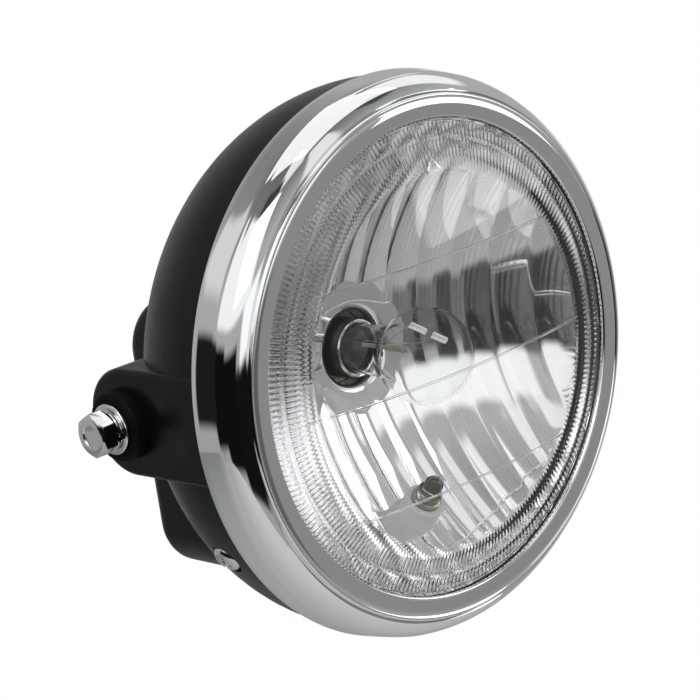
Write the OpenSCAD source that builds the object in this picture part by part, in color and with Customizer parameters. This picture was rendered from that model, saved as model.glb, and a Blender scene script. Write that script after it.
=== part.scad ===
// Round motorcycle headlight hung by two side bolts.
// The optical axis is Y and the glass faces -Y. The origin lies midway between the two
// ear bolts, on the axis that the lamp tilts about in its bracket. All sizes are in mm.

/* [Rim] */
// Outside diameter of the chrome rim at its rear edge
rim_d = 180; // [172:1:210]
// Depth of the rim from its rear edge to its flat front ring
rim_depth = 17.4; // [17:0.1:20]
// Depth of the tapered skirt behind the roll
skirt_depth = 9.9; // [9.5:0.1:10.5]
// How much the skirt's radius shrinks towards the front
skirt_taper = 1.4; // [0.8:0.1:2]
// Radial width of the convex roll in front of the skirt
roll_w = 5.3; // [4.5:0.1:6]
// How far the roll swells out of a straight cone
roll_bulge = 0.8; // [0.5:0.1:1.2]
// Width of the dark groove between roll and bead
groove_w = 0.8; // [0.5:0.1:1.2]
// Depth of that groove
groove_depth = 1.1; // [0.6:0.1:1.4]
// Width of the bright bead inside the groove
bead_w = 1.6; // [1:0.1:2.5]
// Width of the flat front ring
ring_w = 5.2; // [4:0.1:7]
// Thickness of the rim's sheet
rim_sheet = 1.2; // [0.8:0.1:1.5]

/* [Glass] */
// Thickness of the lens
lens_t = 3.5; // [3:0.1:4.5]
// How far the middle of the lens stands in front of its edge
dome_rise = 10; // [6:0.5:14]
// Thickness of the lens flange clamped behind the rim
lens_flange_t = 3.7; // [3:0.1:5]
// Thickness of the rubber gasket in front of the flange
gasket_t = 0.8; // [0.5:0.1:1.5]
// Width of each of the two ribbed bands inside the lens
band_w = 4.4; // [2:0.2:6]
// Clear width between the two ribbed bands
band_gap = 1.4; // [1:0.2:5]
// Heights of the three moulded lines across the lens
line_z = [33, -3, -39]; // [-60:1:60]

/* [Reflector] */
// Focal length of the reflecting paraboloid
focal = 34.7; // [32:0.1:40]
// Thickness of the reflector's wall
reflector_t = 1.6; // [1.2:0.1:2.5]
// Radius of the flat collar round the bulb
collar_r = 20; // [18:0.5:26]
// Width of one upright flute
flute_w = 11; // [8:0.5:20]
// Depth of a flute at its middle
flute_depth = 0.7; // [0.2:0.05:1]

/* [Bucket] */
// Outside diameter of the black bucket
bucket_d = 176.8; // [168:0.2:207]
// Depth of the bowl behind the rim's rear edge
bowl_depth = 56; // [52:1:80]
// Radius that rounds the bowl into its back
bowl_round = 50; // [40:1:51]
// Wall thickness of the bucket
wall = 2.5; // [2:0.1:3]
// Length of the spigot that enters the rim
spigot_len = 5; // [3:0.1:5.5]
// Width of the wiring housing behind the bowl
housing_w = 113; // [90:1:115]
// Height of the wiring housing
housing_h = 90; // [80:1:92]
// How far the housing's centre lies below the lamp's axis
housing_drop = 19; // [14:1:20]
// Distance from the rim's rear edge to the housing's back
housing_back = 71; // [70:1:95]
// Radius of the housing's four long corners
housing_round = 16; // [12:1:24]
// Radius that rounds the edge of the housing's back
housing_edge = 5; // [4:0.5:10]

/* [Ears] */
// Distance between the two flat ear faces
ear_span = 176; // [172:1:200]
// Height of an ear
ear_h = 34; // [28:0.5:38]
// Distance of the bolt axis behind the rim's rear edge
ear_setback = 35; // [30:1:44]
// Radius of the ear's rounded outer edge
ear_edge = 2; // [1:0.5:5]
// Thickness of the ear's outer face
ear_wall = 4; // [3.5:0.5:6]
// Outside diameter of the bush in the ear
bush_d = 22; // [18:0.5:24]
// How far the bush stands out of the ear
bush_out = 5; // [2:0.5:8]

/* [Fasteners] */
// Thread diameter of the ear bolts
bolt_d = 8; // [6:1:8]
// Width of the bolt head across its flats
bolt_af = 13; // [10:0.5:14]
// Height of the bolt head
bolt_head_h = 5.3; // [4:0.1:7]
// Outside diameter of the flat washers
washer_d = 16; // [14:0.5:20]
// Thickness of the flat washers
washer_t = 1.6; // [1:0.1:2.5]
// Thickness of the spring washers
spring_washer_t = 2; // [1.5:0.1:3]
// Thread diameter of the rim screws
screw_d = 5; // [4:0.5:5]
// Head diameter of the rim screws
screw_head_d = 9.6; // [8:0.1:11]
// Angle of the rim screws below the horizontal
screw_angle = 31; // [22:0.5:45]
// Distance of the rim screws behind the rim's rear edge
screw_back = 13.5; // [11:0.5:14]

/* [Main bulb] */
// Diameter of the bulb's globe
globe_d = 31; // [24:0.5:32]
// Distance of the globe's centre in front of the rim's rear edge
globe_front = 6; // [2:0.5:7]
// Radius of the bulb's glass neck
glass_neck_r = 8; // [7:0.5:9]
// Wall thickness of the bulb's glass
glass_t = 0.8; // [0.6:0.1:1.2]
// Radius of the metal cap in the reflector's neck
cap_r = 11.8; // [11:0.1:13]
// Length of the reflector's neck behind the collar
neck_len = 12; // [10:0.5:14]

/* [Parking light] */
// Distance of the parking light from the edge of the glass
pilot_edge = 20.5; // [18:0.5:26]
// Angle between the parking light's axis and the lamp's axis
pilot_tilt = 50; // [37:1:60]
// Outside radius of the white holder
pilot_r = 6.5; // [5.5:0.5:8]
// Radius of the parking light's glass bulb
pilot_bulb_r = 2.7; // [2:0.1:3]

/* [Cable outlet] */
// Bore of the rubber grommet
cable_d = 12; // [8:1:14]
// Distance of the outlet below the lamp's axis
outlet_drop = 40; // [36:1:41]
// Wall of the grommet round its bore
grommet_wall = 4; // [3:0.5:5]

/* [Hidden] */
$fn = 96;
gap = 0.2;
black = [0.06, 0.06, 0.065];
chrome = [0.82, 0.84, 0.86];
steel = [0.68, 0.69, 0.70];
clear_glass = [0.85, 0.92, 0.95, 0.35];

// Radii of the rim's profile, from its rear edge inwards
rim_r = rim_d / 2;
roll_r = rim_r - skirt_taper;
groove_r = roll_r - roll_w;
bead_r = groove_r - groove_w;
ring_r = bead_r - bead_w;
lip_r = ring_r - ring_w;
lip_w = 0.8;
opening_r = lip_r - lip_w;

// Stack behind the flat front ring
ring_back = -rim_depth + rim_sheet;
flange_front = ring_back + gasket_t;
flange_back = flange_front + lens_flange_t;
flange_r = ring_r - 1;
reflector_flange_t = 1.2;
ring_front = flange_back + reflector_flange_t;
ring_t = 1.2;

// Glass
dome_r = opening_r - 0.4;
dome_edge = -rim_depth + lip_w;
dome_radius = (dome_r * dome_r + dome_rise * dome_rise) / (2 * dome_rise);
dome_apex = dome_edge - dome_rise;

// Reflector
reflector_r = dome_r;
apex = flange_back + reflector_r * reflector_r / (4 * focal);
collar_y = apex - collar_r * collar_r / (4 * focal);
neck_r = cap_r + gap;
neck_t = 3.3;
neck_back = collar_y + neck_len;

// Bucket
bowl_r = bucket_d / 2;
spigot_r = min(skirt_inside(spigot_len) - 0.4, bowl_r - 1.5);
leg_r = spigot_r - wall - 0.6;
leg_t = 1.2;
screw_seat = bowl_at(screw_back + screw_head_d / 2) - 0.1;
ear_x = ear_span / 2;
ear_r = ear_h / 2;
pocket_r = ear_r - ear_wall;
bush_step = 2;
bush_spigot_r = bolt_d / 2 + 2;
washer_x = ear_x + bush_out;
spring_x = washer_x + washer_t;
head_x = spring_x + spring_washer_t;
hook_y = 6.4;
hook_t = 1.2;
ledge_y = 3.6;

// Main bulb, socket and boot
flange_disc_t = 1.2;
cap_front = collar_y + 3;
glass_back = cap_front + 6;
cap_back = neck_back + 9;
socket_r = neck_r + neck_t + 0.3;
socket_wall = 1.8;
socket_front = neck_back - 5;
socket_base = cap_back + 2;
socket_base_t = 3;
boot_wall = 2.8;

// Parking light, on the reflector's surface
pilot_drop = reflector_r - pilot_edge;
pilot_y = apex - pilot_drop * pilot_drop / (4 * focal);

// Puts what is turned about Z on the lamp's own axis, Y, from the rim's rear edge
module lamp() {
    translate([0, -ear_setback, 0])
        rotate([-90, 0, 0])
            children();
}

// A full turn of a profile given as [radius, depth]
module turned(points) {
    lamp()
        rotate_extrude()
            polygon(points);
}

function lerp(p, q, t) = p + (q - p) * t;

// Points from p to q that swell to the left of the way by h
function swell(p, q, h, n) = let (d = q - p, m = [d.y, -d.x] / norm(d))
    [for (i = [0:n]) lerp(p, q, i / n) + m * h * 4 * (i / n) * (1 - i / n)];

function arc(c, r, a0, a1, n) = [for (i = [0:n]) let (a = a0 + (a1 - a0) * i / n)
    c + r * [cos(a), sin(a)]];

function reversed(points) = [for (i = [len(points) - 1:-1:0]) points[i]];

// Inner radius of the rim's skirt at a distance in front of its rear edge
function skirt_inside(front) = rim_r - rim_sheet - skirt_taper * front / skirt_depth;

// Outer radius of the bowl at a depth behind the rim's rear edge
function bowl_at(y) = let (d = max(0, y - bowl_depth + bowl_round))
    bowl_r - bowl_round + sqrt(bowl_round * bowl_round - d * d);

// Outer and inner depth of the dome at a radius
function dome_y(r, inset) = dome_apex + dome_radius
    - sqrt((dome_radius - inset) * (dome_radius - inset) - r * r);

module rim() {
    outer = concat(
        [[rim_r, 0]],
        swell([roll_r, -skirt_depth], [groove_r, -rim_depth + 1], -roll_bulge, 12),
        [[groove_r - groove_w / 2, -rim_depth + 1 + groove_depth]],
        swell([bead_r, -rim_depth + 0.6], [ring_r, -rim_depth + 0.2], -0.7, 8),
        [[lip_r, -rim_depth], [lip_r - 0.6, -rim_depth + 0.3], [opening_r, -rim_depth + 0.8]]);
    inner = concat(
        [[rim_r - rim_sheet, 0]],
        swell([roll_r - rim_sheet, -skirt_depth + 0.2], [groove_r, -rim_depth + 3],
            -roll_bulge, 12),
        [[bead_r, -rim_depth + 2.6], [ring_r, ring_back], [opening_r, ring_back]]);
    tab_w = 12;
    tab_in = skirt_inside(skirt_depth) - 2.2;
    tab_y = ring_front + ring_t;
    color(chrome) {
        turned(concat(outer, reversed(inner)));
        // Four tabs folded over the mounting ring
        lamp()
            for (a = [45:90:315])
                rotate([0, 0, a])
                    translate([tab_in, -tab_w / 2, tab_y])
                        cube([skirt_inside(-tab_y) + 0.3 - tab_in, tab_w, 0.8]);
    }
}

// The lens, with two thicker bands for the ribs and three moulded lines inside
module lens() {
    band_t = 0.8;
    band_1 = dome_r - 1.2;
    band_2 = band_1 - band_w - band_gap;
    line_w = 0.9;
    line_t = 0.5;
    front = [for (i = [0:16]) let (r = dome_r * i / 16) [r, dome_y(r, 0)]];
    back = [for (i = [0:16]) let (r = (dome_r - 1) * i / 16) [r, dome_y(r, lens_t)]];
    color(clear_glass) {
        turned(concat(front, [[dome_r, flange_front], [flange_r, flange_front],
            [flange_r, flange_back], [dome_r - 1, flange_back]], reversed(back)));
        for (r = [band_1, band_2])
            turned([[r, dome_y(r, lens_t) - 0.3], [r, dome_y(r, lens_t) + band_t],
                [r - band_w, dome_y(r - band_w, lens_t) + band_t],
                [r - band_w, dome_y(r - band_w, lens_t) - 0.3]]);
        inner_r = band_2 - band_w;
        sheet = [for (i = [0:12]) let (r = inner_r * i / 12) [r, dome_y(r, lens_t)]];
        for (z = line_z)
            intersection() {
                turned(concat([for (p = sheet) p - [0, 0.3]],
                    reversed([for (p = sheet) p + [0, line_t]])));
                translate([-rim_r, -rim_r - ear_setback, z - line_w / 2])
                    cube([2 * rim_r, 2 * rim_r, line_w]);
            }
    }
}

module lens_gasket() {
    color([0.1, 0.1, 0.1])
        turned([[opening_r + 1, ring_back], [flange_r, ring_back],
            [flange_r, flange_front], [opening_r + 1, flange_front]]);
}

// Height of the mirror's section above and in front of its axis: their sum is the mirror
function flute(x) = let (u = x / flute_w - round(x / flute_w)) flute_depth * (1 - 4 * u * u);
function mirror_x(x) = apex - x * x / (4 * focal) + flute(x);
function mirror_z(z) = -z * z / (4 * focal);

// The space in front of the fluted mirror, a grid of flat facets between the ridges
module mirror_block() {
    per_flute = 6;
    flutes = ceil(2 * reflector_r / flute_w / 2) * 2 + 1;
    cols = flutes * per_flute;
    rows = 26;
    front = flange_back - 6;
    reach = reflector_r + 1;
    xs = [for (i = [0:cols]) (i / per_flute - flutes / 2) * flute_w];
    zs = [for (j = [0:rows]) lerp(reach, -reach, j / rows)];
    near = [for (x = xs, z = zs) [x, max(front + 1, mirror_x(x) + mirror_z(z)), z]];
    corners = [for (x = [xs[0], xs[cols]], z = [reach, -reach]) [x, front, z]];
    n = rows + 1;
    c = len(near);
    quads = [for (i = [0:cols - 1], j = [0:rows - 1])
        [i * n + j, i * n + j + 1, (i + 1) * n + j + 1, (i + 1) * n + j]];
    sides = [
        concat([c + 2, c], [for (i = [0:cols]) i * n]),
        concat([c + 1, c + 3], [for (i = [cols:-1:0]) i * n + rows]),
        concat([c, c + 1], [for (j = [rows:-1:0]) j]),
        concat([c + 3, c + 2], [for (j = [0:rows]) cols * n + j]),
        [c, c + 2, c + 3, c + 1]];
    translate([0, -ear_setback, 0])
        polyhedron(concat(near, corners), concat(quads, sides), convexity = 10);
}

module reflector() {
    t = reflector_t;
    out = neck_r + neck_t;
    rear = [for (i = [0:8]) let (r = lerp(reflector_r + t, collar_r - 1, i / 8))
        [r, apex - (r - t) * (r - t) / (4 * focal) + t + flute_depth]];
    color([0.86, 0.87, 0.88])
        difference() {
            turned(concat([[0, flange_back], [flange_r, flange_back], [flange_r, ring_front],
                [reflector_r + t, ring_front]], rear,
                [[out, collar_y + t + 1.4], [out, neck_back], [0, neck_back]]));
            intersection() {
                mirror_block();
                turned([[0, flange_back - 3], [reflector_r, flange_back - 3],
                    [reflector_r, collar_y], [0, collar_y]]);
            }
            turned([[0, collar_y - 1], [neck_r, collar_y - 1],
                [neck_r, neck_back + 1], [0, neck_back + 1]]);
            pilot_axis()
                translate([0, 0, -12])
                    cylinder(h = 24, r = pilot_r + gap);
        }
}

// Z runs out of the reflector along the parking light's axis
module pilot_axis() {
    translate([0, pilot_y - ear_setback, -pilot_drop])
        rotate([90 - pilot_tilt, 0, 0])
            children();
}

// The pressed ring that clamps the glass, with two screwed legs and a hooked one
module mounting_ring() {
    inner_r = reflector_r + reflector_t + 1;
    outer_r = skirt_inside(-ring_front) - 0.8;
    leg_w = 11;
    leg_back = screw_back + 4.5;
    color(steel) {
        turned([[inner_r, ring_front], [outer_r, ring_front],
            [outer_r, ring_front + ring_t], [inner_r, ring_front + ring_t]]);
        for (a = [-screw_angle, 180 + screw_angle])
            difference() {
                ring_leg(a, leg_w, leg_back);
                screw_axis(a)
                    cylinder(h = rim_r, r = screw_d / 2 + 0.3);
            }
        ring_leg(90, leg_w, hook_y + hook_t);
        // The hook that drops behind the ledge at the top of the bucket
        translate([-leg_w / 2, hook_y - ear_setback, leg_r - leg_t])
            cube([leg_w, hook_t, bowl_r - wall - gap - 0.5 - leg_r + leg_t]);
    }
}

module ring_leg(a, w, back) {
    lamp()
        rotate([0, 0, -a])
            translate([leg_r - leg_t, -w / 2, ring_front])
                cube([leg_t, w, back - ring_front]);
}

// Z runs outwards along a rim screw at angle a
module screw_axis(a) {
    translate([0, screw_back - ear_setback, 0])
        rotate([0, 90 - a, 0])
            children();
}

module rim_screws() {
    head_h = 2.6;
    shank_in = leg_r - leg_t - 5;
    color(steel)
        for (a = [-screw_angle, 180 + screw_angle])
            screw_axis(a)
                difference() {
                    union() {
                        translate([0, 0, shank_in])
                            cylinder(h = screw_seat + 1 - shank_in, r = screw_d / 2);
                        translate([0, 0, screw_seat])
                            rotate_extrude()
                                polygon(concat([[0, 0], [screw_head_d / 2, 0],
                                    [screw_head_d / 2, 0.6]],
                                    arc([screw_head_d / 2 - 2.4, 0.9], head_h - 0.9 + 0.1, 20, 90, 6),
                                    [[0, head_h + 0.1]]));
                    }
                    for (b = [0, 90])
                        rotate([0, 0, b + 20])
                            translate([-2.6, -0.5, screw_seat + head_h - 1.3])
                                cube([5.2, 1, 3]);
                }
}

module clip_nuts() {
    nut_w = 9;
    nut_t = 3;
    color(steel)
        for (a = [-screw_angle, 180 + screw_angle])
            screw_axis(a)
                difference() {
                    translate([-nut_w / 2, -nut_w / 2, leg_r - leg_t - nut_t])
                        cube([nut_w, nut_w, nut_t]);
                    cylinder(h = rim_r, r = screw_d / 2 + 0.05);
                }
}

// Section of the bowl: outside for inset 0, inside for an inset of one wall
function bowl_section(inset) = let (c = [bowl_r - bowl_round, bowl_depth - bowl_round])
    concat([[0, bowl_depth - inset]], arc(c, bowl_round - inset, 90, 0, 24));

module housing(inset) {
    x = housing_w / 2 - housing_round;
    z = housing_h / 2 - housing_round;
    r = housing_round - inset;
    e = min(housing_round, housing_edge + 1) - inset;
    start = bowl_depth - 22;
    back = housing_back - inset;
    translate([0, -ear_setback, -housing_drop])
        rotate([-90, 0, 0])
            hull()
                for (sx = [-1, 1], sz = [-1, 1])
                    translate([sx * x, sz * z, 0]) {
                        translate([0, 0, start])
                            cylinder(h = back - e - start, r = r, $fn = 32);
                        translate([0, 0, back - e])
                            rotate_extrude($fn = 32)
                                polygon(concat([[0, 0]], arc([r - e, 0], e, 0, 90, 6), [[0, e]]));
                    }
}

// One ear, on the side given by s: a straight arm and a round end on the bolt axis
module ear_block(s, r, x_out, edge, front) {
    x_in = bowl_r * 0.62;
    side = concat([[0, x_in]], [[r, x_in]], arc([r - edge, x_out - edge], edge, 0, 90, 6),
        [[0, x_out]]);
    arm = concat(side, [for (p = reversed(side)) if (p[0] > 0) [-p[0], p[1]]]);
    rotate([0, s * 90, 0])
        rotate_extrude()
            polygon(side);
    translate([0, front - ear_setback, 0])
        rotate([-90, 0, 0])
            linear_extrude(height = ear_setback - front)
                polygon([for (p = arm) [s * p[1], p[0]]]);
}

module bucket() {
    front = 0.3;
    boss_r = 6;
    drain_r = 2;
    drain_back = 22;
    field_w = housing_w - 34;
    field_t = 0.8;
    field_low = 2;
    color(black)
        difference() {
            union() {
                turned(concat(bowl_section(0), [[bowl_r, front], [spigot_r, front],
                    [spigot_r, -spigot_len], [0, -spigot_len]]));
                housing(0);
                for (s = [-1, 1])
                    ear_block(s, ear_r, ear_x, ear_edge, 0.6);
            }
            difference() {
                union() {
                    turned(concat(bowl_section(wall), [[bowl_r - wall, front + wall + 1],
                        [spigot_r - wall, front + 1], [spigot_r - wall, -spigot_len - 1],
                        [0, -spigot_len - 1]]));
                    housing(wall);
                    for (s = [-1, 1])
                        ear_block(s, pocket_r, ear_x - ear_wall, 1, 6);
                }
                // Bosses behind the rim screws
                for (a = [-screw_angle, 180 + screw_angle])
                    screw_axis(a)
                        translate([0, 0, leg_r + 0.1])
                            cylinder(h = bowl_r - leg_r - 1, r = boss_r);
                // Ledge that the ring's hook drops behind
                translate([-9, ledge_y - ear_setback, leg_r + 0.3])
                    cube([18, hook_y - 0.3 - ledge_y, bowl_r - leg_r - 1]);
            }
            for (a = [-screw_angle, 180 + screw_angle])
                screw_axis(a) {
                    cylinder(h = 2 * bowl_r, r = screw_d / 2 + gap);
                    translate([0, 0, screw_seat])
                        cylinder(h = bowl_r, r = screw_head_d / 2 + 0.8);
                }
            for (s = [-1, 1])
                rotate([0, s * 90, 0]) {
                    cylinder(h = ear_x + bowl_r, r = bush_spigot_r + 0.1);
                    translate([0, 0, ear_x - bush_step])
                        cylinder(h = bowl_r, r = bush_d / 2 + 0.1);
                }
            translate([0, housing_back - wall - 6 - ear_setback, -outlet_drop])
                rotate([-90, 0, 0])
                    cylinder(h = wall + 12, r = cable_d / 2 + grommet_wall);
            // Drain in the lowest part of the bowl, and a shallow field in the housing's back
            translate([0, drain_back - ear_setback, -bowl_r - 5])
                cylinder(h = 20, r = drain_r);
            translate([-field_w / 2, housing_back - field_t - ear_setback, -housing_drop + field_low])
                cube([field_w, field_t + 5, housing_h / 2 - 12 - field_low]);
        }
}

module bulb_glass() {
    c = -globe_front;
    big = globe_d / 2;
    a = asin((glass_neck_r + 1) / big);
    outline = function (r, neck) concat(
        arc([0, c], r, -90, 90 - a, 20),
        [[neck + 0.6, c + r + 3], [neck, c + r + 7], [neck, glass_back]]);
    color(clear_glass)
        turned(concat(outline(big, glass_neck_r),
            reversed(outline(big - glass_t, glass_neck_r - glass_t))));
}

// Glass pinch and the ceramic rod that carries the filament
module bulb_stem() {
    rod_r = 2.4;
    rod_front = 6 - globe_front;
    foot_r = glass_neck_r - glass_t - gap;
    color([0.9, 0.88, 0.8])
        turned([[0, rod_front], [rod_r - 0.4, rod_front], [rod_r, rod_front + 0.4],
            [rod_r, glass_back - 13], [foot_r - 1, glass_back - 13],
            [foot_r - 1, glass_back - 4], [foot_r, glass_back - 3], [foot_r, glass_back],
            [0, glass_back]]);
}

// Two lead wires standing on the stem's foot, and the coil between their tips
module filament() {
    wire_r = 0.4;
    coil_r = 0.9;
    half = 3.4;
    lift = 3.6;
    tip = -globe_front - 4;
    color([0.62, 0.62, 0.64])
        translate([0, -ear_setback, lift]) {
            for (s = [-1, 1])
                translate([s * half, tip, 0])
                    rotate([-90, 0, 0])
                        cylinder(h = glass_back - 13 - tip, r = wire_r, $fn = 24);
            translate([-half - 1, tip, 0])
                rotate([0, 90, 0])
                    cylinder(h = 2 * (half + 1), r = coil_r, $fn = 24);
        }
}

module bulb_cap() {
    hole = glass_neck_r + gap / 2;
    body_r = cap_r - 2;
    disc_r = neck_r + neck_t - 0.6;
    color([0.75, 0.72, 0.62])
        turned([[hole, cap_front], [body_r, cap_front], [body_r, neck_back - 4],
            [cap_r, neck_back - 4], [cap_r, neck_back],
            [disc_r, neck_back], [disc_r, neck_back + flange_disc_t],
            [9.5, neck_back + flange_disc_t], [9.5, cap_back - 1], [8.5, cap_back],
            [0, cap_back], [0, glass_back], [hole, glass_back]]);
}

module bulb_contacts() {
    color([0.7, 0.7, 0.68])
        for (a = [0:120:240])
            translate([4.8 * cos(a), cap_back - ear_setback, 4.8 * sin(a)])
                rotate([-90, 0, 0])
                    cylinder(h = 1, r1 = 1.8, r2 = 1.4);
}

module bulb_socket() {
    out = socket_r + socket_wall;
    color([0.12, 0.1, 0.09])
        difference() {
            turned([[socket_r, socket_front], [out, socket_front],
                [out, socket_base + socket_base_t], [0, socket_base + socket_base_t],
                [0, socket_base], [socket_r, socket_base]]);
            for (a = [0:120:240])
                translate([4.8 * cos(a), socket_base - 1 - ear_setback, 4.8 * sin(a)])
                    rotate([-90, 0, 0])
                        cylinder(h = socket_base_t + 2, r = 1.7);
        }
}

// Contact plungers and blades that pass through the socket's base
module socket_terminals() {
    color([0.8, 0.68, 0.35])
        for (a = [0:120:240])
            translate([4.8 * cos(a), -ear_setback, 4.8 * sin(a)]) {
                translate([0, cap_back + 1, 0])
                    rotate([-90, 0, 0])
                        cylinder(h = socket_base + socket_base_t + 0.6 - cap_back - 1, r = 1.6);
                translate([-1.4, socket_base + socket_base_t + 0.6, -0.4])
                    cube([2.8, 5, 0.8]);
            }
}

// Wire wound as a helix along Y
module helix(y0, y1, r, wire, turns) {
    steps = 14 * turns;
    sides = 6;
    points = [for (i = [0:steps]) let (a = 360 * turns * i / steps, y = lerp(y0, y1, i / steps))
        for (j = [0:sides - 1]) let (b = 360 * j / sides, q = r + wire * cos(b))
            [q * cos(a), y + wire * sin(b), q * sin(a)]];
    walls = [for (i = [0:steps - 1]) for (j = [0:sides - 1])
        let (k = (j + 1) % sides, p = i * sides, q = p + sides)
        each [[p + j, q + j, q + k], [p + j, q + k, p + k]]];
    caps = [[for (j = [0:sides - 1]) j], [for (j = [sides - 1:-1:0]) steps * sides + j]];
    polyhedron(points, concat(walls, caps), convexity = 8);
}

module socket_spring() {
    wire = 0.6;
    color(steel)
        translate([0, -ear_setback, 0])
            helix(neck_back + flange_disc_t + wire + 0.05, socket_base - wire - 0.05,
                (9.5 + socket_r) / 2, wire, 3.5);
}

module rubber_boot() {
    seat = neck_r + neck_t + gap / 2;
    body = socket_r + socket_wall + gap / 2;
    shoulder = socket_base + socket_base_t + 0.1;
    cavity_back = shoulder + 7;
    back = cavity_back + boot_wall;
    front = collar_y + reflector_t + flute_depth + 1.4;
    tail_r = 12;
    tail_out = tail_r + boot_wall;
    nipple = 5;
    color([0.07, 0.07, 0.07])
        turned([[seat, front], [body + boot_wall, front], [body + boot_wall, shoulder + 1],
            [body + 1, shoulder + boot_wall], [tail_out, shoulder + boot_wall + 1],
            [tail_out, back - 1.5], [tail_out - 1.5, back], [nipple + 1, back],
            [nipple, back + 3], [2.2, back + 3], [2.2, cavity_back], [tail_r, cavity_back],
            [tail_r, shoulder], [body, shoulder], [body, socket_front - 0.1],
            [seat, socket_front - 0.1]]);
}

module pilot_holder() {
    hole = pilot_bulb_r + 0.1;
    color([0.92, 0.92, 0.9])
        pilot_axis()
            rotate_extrude()
                polygon([[hole, -17], [pilot_r - 1, -17], [pilot_r, -16], [pilot_r, -12.5],
                    [pilot_r + 2, -12.5], [pilot_r + 2, -10.5], [pilot_r, -10.5],
                    [pilot_r, 3], [pilot_r - 0.6, 3.6], [hole, 3.6]]);
}

module pilot_cup() {
    r = pilot_bulb_r;
    color(steel)
        pilot_axis()
            rotate_extrude()
                polygon([[r + 0.1, 3.6], [r + 2, 3.6], [r + 2, 4.2], [r + 1.3, 4.6],
                    [r + 1.8, 8.4], [r + 1.3, 8.4], [r + 0.7, 4.9], [r + 0.1, 4.6]]);
}

module pilot_bulb() {
    r = pilot_bulb_r;
    color(clear_glass)
        pilot_axis()
            rotate_extrude()
                polygon(concat([[0, -8], [r, -8], [r, 5.5]], arc([0, 7.2], r + 0.3, -20, 90, 8)));
}

module pilot_contacts() {
    color([0.8, 0.68, 0.35])
        pilot_axis()
            for (s = [-1, 1])
                translate([s * 1.6 - 0.4, -1.4, -22])
                    cube([0.8, 2.8, 14]);
}

module ear_bushes() {
    color([0.08, 0.08, 0.08])
        for (s = [-1, 1])
            rotate([0, s * 90, 0])
                rotate_extrude()
                    polygon([[bolt_d / 2 + 0.3, ear_x - ear_wall], [bush_spigot_r, ear_x - ear_wall],
                        [bush_spigot_r, ear_x - bush_step], [bush_d / 2, ear_x - bush_step],
                        [bush_d / 2, ear_x + bush_out - 1], [bush_d / 2 - 1, ear_x + bush_out],
                        [bolt_d / 2 + 0.3, ear_x + bush_out]]);
}

module flat_washers() {
    color(steel)
        for (s = [-1, 1])
            rotate([0, s * 90, 0])
                difference() {
                    translate([0, 0, washer_x])
                        cylinder(h = washer_t, r = washer_d / 2);
                    cylinder(h = washer_x + 10, r = bolt_d / 2 + 0.2);
                }
}

// Split washers whose ends part at a slanted cut
module spring_washers() {
    color(steel)
        for (s = [-1, 1])
            rotate([0, s * 90, 0])
                difference() {
                    translate([0, 0, spring_x])
                        cylinder(h = spring_washer_t, r = bolt_d / 2 + 2.7);
                    cylinder(h = spring_x + 10, r = bolt_d / 2 + 0.15);
                    translate([0, 0, spring_x + spring_washer_t / 2])
                        rotate([0, 0, -35])
                            rotate([25, 0, 0])
                                translate([0, -0.4, -5])
                                    cube([bolt_d, 0.8, 10]);
                }
}

// Hexagon bolts with a chamfered, dished head
module ear_bolts() {
    corner_r = bolt_af / 2 / cos(30);
    tip = ear_x - ear_wall - 11;
    r = bolt_d / 2 - 0.05;
    top = head_x + bolt_head_h;
    color([0.75, 0.75, 0.74])
        for (s = [-1, 1])
            rotate([0, s * 90, 0]) {
                rotate_extrude()
                    polygon([[0, tip], [r - 0.8, tip], [r, tip + 1], [r, head_x + 1],
                        [0, head_x + 1]]);
                intersection() {
                    translate([0, 0, head_x])
                        rotate([0, 0, 12])
                            cylinder(h = bolt_head_h + 1, r = corner_r, $fn = 6);
                    rotate_extrude()
                        polygon([[0, head_x - 1], [corner_r + 1, head_x - 1],
                            [corner_r + 1, top - 1.4], [bolt_af / 2 - 0.4, top],
                            [bolt_af / 2 - 1.5, top], [bolt_af / 2 - 3, top - 1.2],
                            [0, top - 1.4]]);
                }
            }
}

module ear_nuts() {
    nut_h = 6.5;
    face = ear_x - ear_wall;
    color(steel)
        for (s = [-1, 1])
            rotate([0, s * 90, 0])
                difference() {
                    union() {
                        translate([0, 0, face - nut_h])
                            cylinder(h = nut_h, r = bolt_af / 2 / cos(30), $fn = 6);
                        translate([0, 0, face - 1.5])
                            cylinder(h = 1.5, r = bolt_af / 2 + 2.5);
                    }
                    cylinder(h = face + 1, r = bolt_d / 2);
                }
}

module cable_grommet() {
    bore = cable_d / 2;
    waist = bore + grommet_wall - 0.1;
    flange = waist + 3;
    back = housing_back;
    color([0.07, 0.07, 0.07])
        translate([0, -ear_setback, -outlet_drop])
            rotate([-90, 0, 0])
                rotate_extrude()
                    polygon([[bore, back - wall - 2.5], [flange - 1, back - wall - 2.5],
                        [flange, back - wall], [waist, back - wall], [waist, back],
                        [flange, back], [flange, back + 1.2], [flange - 1.2, back + 2.4],
                        [bore, back + 2.4]]);
}

bucket();
rim();
lens();
lens_gasket();
reflector();
mounting_ring();
rim_screws();
clip_nuts();
bulb_glass();
bulb_stem();
filament();
bulb_cap();
bulb_contacts();
bulb_socket();
socket_spring();
socket_terminals();
rubber_boot();
pilot_holder();
pilot_cup();
pilot_bulb();
pilot_contacts();
ear_bushes();
flat_washers();
spring_washers();
ear_bolts();
ear_nuts();
cable_grommet();
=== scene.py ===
import math
import bmesh
import bpy
from mathutils import Matrix, Vector


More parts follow.
